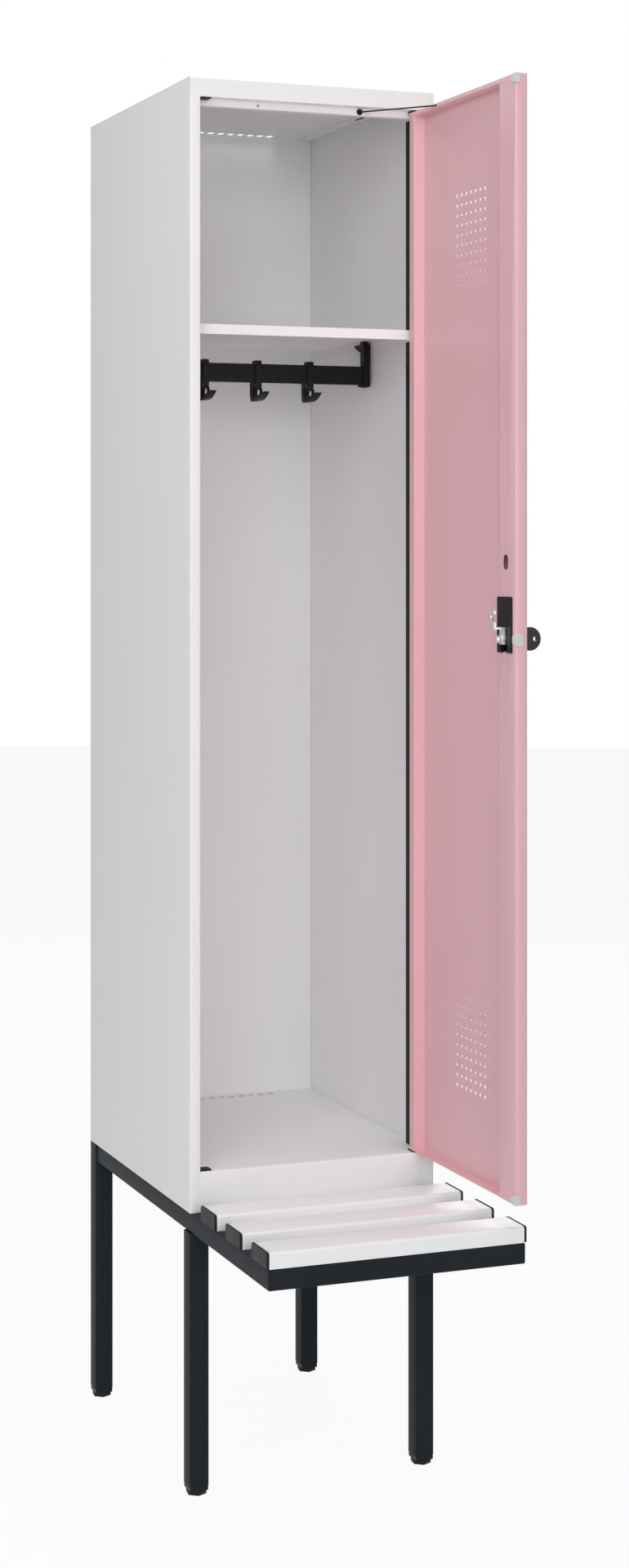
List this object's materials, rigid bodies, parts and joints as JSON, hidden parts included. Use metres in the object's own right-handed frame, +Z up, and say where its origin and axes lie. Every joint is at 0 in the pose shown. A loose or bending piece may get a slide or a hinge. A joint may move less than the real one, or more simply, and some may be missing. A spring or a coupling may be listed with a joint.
{
  "type": "locker with bench",
  "caption": "Tall steel cloakroom locker with a perforated, lockable door, a hat shelf and a coat rail with sliding hooks, on a square-tube frame that runs forward as a slatted bench.",
  "frame": {"origin": "on the floor, in the middle of the footprint of the whole object with its door open", "axes": "+Z up, +Y from the front of the locker to its back, +X to the right of someone facing it"},
  "size_m": [0.42, 0.851, 2.1235],
  "materials": {
    "carcass_paint": "light grey powder coat, satin",
    "door_paint": "rose powder coat, satin",
    "frame_paint": "anthracite powder coat, satin",
    "black_plastic": "black moulded nylon",
    "slat_plastic": "white extruded plastic, smooth",
    "buffer_rubber": "translucent soft rubber",
    "zinc_steel": "zinc plated, dull",
    "cord_rubber": "black cord"
  },
  "bodies": {
    "cabinet": {"side_panel_left": "carcass_paint", "side_panel_right": "carcass_paint", "back_panel": "carcass_paint", "top_panel": "carcass_paint", "bottom_fascia": "carcass_paint", "floor_panel": "carcass_paint", "hat_shelf": "carcass_paint", "leg_front_left": "frame_paint", "leg_front_right": "frame_paint", "leg_rear_left": "frame_paint", "leg_rear_right": "frame_paint", "side_rail_left": "frame_paint", "side_rail_right": "frame_paint", "bench_cross_rail": "frame_paint", "front_cross_rail": "frame_paint", "rear_cross_rail": "frame_paint", "stile_liner_lower": "frame_paint", "stile_liner_upper": "frame_paint", "pivot_block_top_left": "black_plastic", "pivot_block_top_right": "black_plastic", "pivot_block_bottom_left": "black_plastic", "pivot_block_bottom_right": "black_plastic", "leg_plug_front_left": "black_plastic", "leg_plug_front_right": "black_plastic", "leg_plug_rear_left": "black_plastic", "leg_plug_rear_right": "black_plastic", "slat_cap_front_left": "black_plastic", "slat_cap_front_right": "black_plastic", "slat_cap_middle_left": "black_plastic", "slat_cap_middle_right": "black_plastic", "slat_cap_rear_left": "black_plastic", "slat_cap_rear_right": "black_plastic", "stay_anchor": "black_plastic", "coat_rail": "black_plastic", "rail_bracket_left": "black_plastic", "rail_bracket_right": "black_plastic", "bench_slat_front": "slat_plastic", "bench_slat_middle": "slat_plastic", "bench_slat_rear": "slat_plastic", "stay_cord": "cord_rubber"},
    "door": {"door_panel": "door_paint", "pivot_pin_top": "zinc_steel", "pivot_pin_bottom": "zinc_steel", "lock_housing": "black_plastic", "lock_rosette": "black_plastic", "buffer_top": "buffer_rubber", "buffer_middle": "buffer_rubber", "buffer_bottom": "buffer_rubber", "stay_end_ball": "black_plastic"},
    "lock": {"lock_knob": "black_plastic", "lock_spindle": "zinc_steel", "lock_cam": "zinc_steel", "lock_nut": "zinc_steel"},
    "hook_left": {"coat_hook_left": "black_plastic"},
    "hook_middle": {"coat_hook_middle": "black_plastic"},
    "hook_right": {"coat_hook_right": "black_plastic"},
    "foot_front_left": {"levelling_foot_front_left": "black_plastic"},
    "foot_front_right": {"levelling_foot_front_right": "black_plastic"},
    "foot_rear_left": {"levelling_foot_rear_left": "black_plastic"},
    "foot_rear_right": {"levelling_foot_rear_right": "black_plastic"}
  },
  "joints": [
    {"name": "door_hinge", "type": "hinge", "parent": "cabinet", "child": "door", "pos_m": [0.16528, -0.0665, 1.289], "axis": [0, 0, 1], "range_deg": [-90, 0], "deforming": ["stay_cord"]},
    {"name": "lock_turn", "type": "hinge", "parent": "door", "child": "lock", "pos_m": [0.17367, -0.3909, 1.2885], "axis": [1, 0, 0], "range_deg": [0, 90]},
    {"name": "hook_slide_left", "type": "slide", "parent": "cabinet", "child": "hook_left", "axis": [1, 0, 0], "range_m": [-0.08, 0.038]},
    {"name": "hook_slide_middle", "type": "slide", "parent": "cabinet", "child": "hook_middle", "axis": [1, 0, 0], "range_m": [-0.038, 0.038]},
    {"name": "hook_slide_right", "type": "slide", "parent": "cabinet", "child": "hook_right", "axis": [1, 0, 0], "range_m": [-0.038, 0.08]},
    {"name": "foot_screw_front_left", "type": "slide", "parent": "cabinet", "child": "foot_front_left", "axis": [0, 0, 1], "range_m": [-0.015, 0]},
    {"name": "foot_screw_front_right", "type": "slide", "parent": "cabinet", "child": "foot_front_right", "axis": [0, 0, 1], "range_m": [-0.015, 0]},
    {"name": "foot_screw_rear_left", "type": "slide", "parent": "cabinet", "child": "foot_rear_left", "axis": [0, 0, 1], "range_m": [-0.015, 0]},
    {"name": "foot_screw_rear_right", "type": "slide", "parent": "cabinet", "child": "foot_rear_right", "axis": [0, 0, 1], "range_m": [-0.015, 0]}
  ]
}
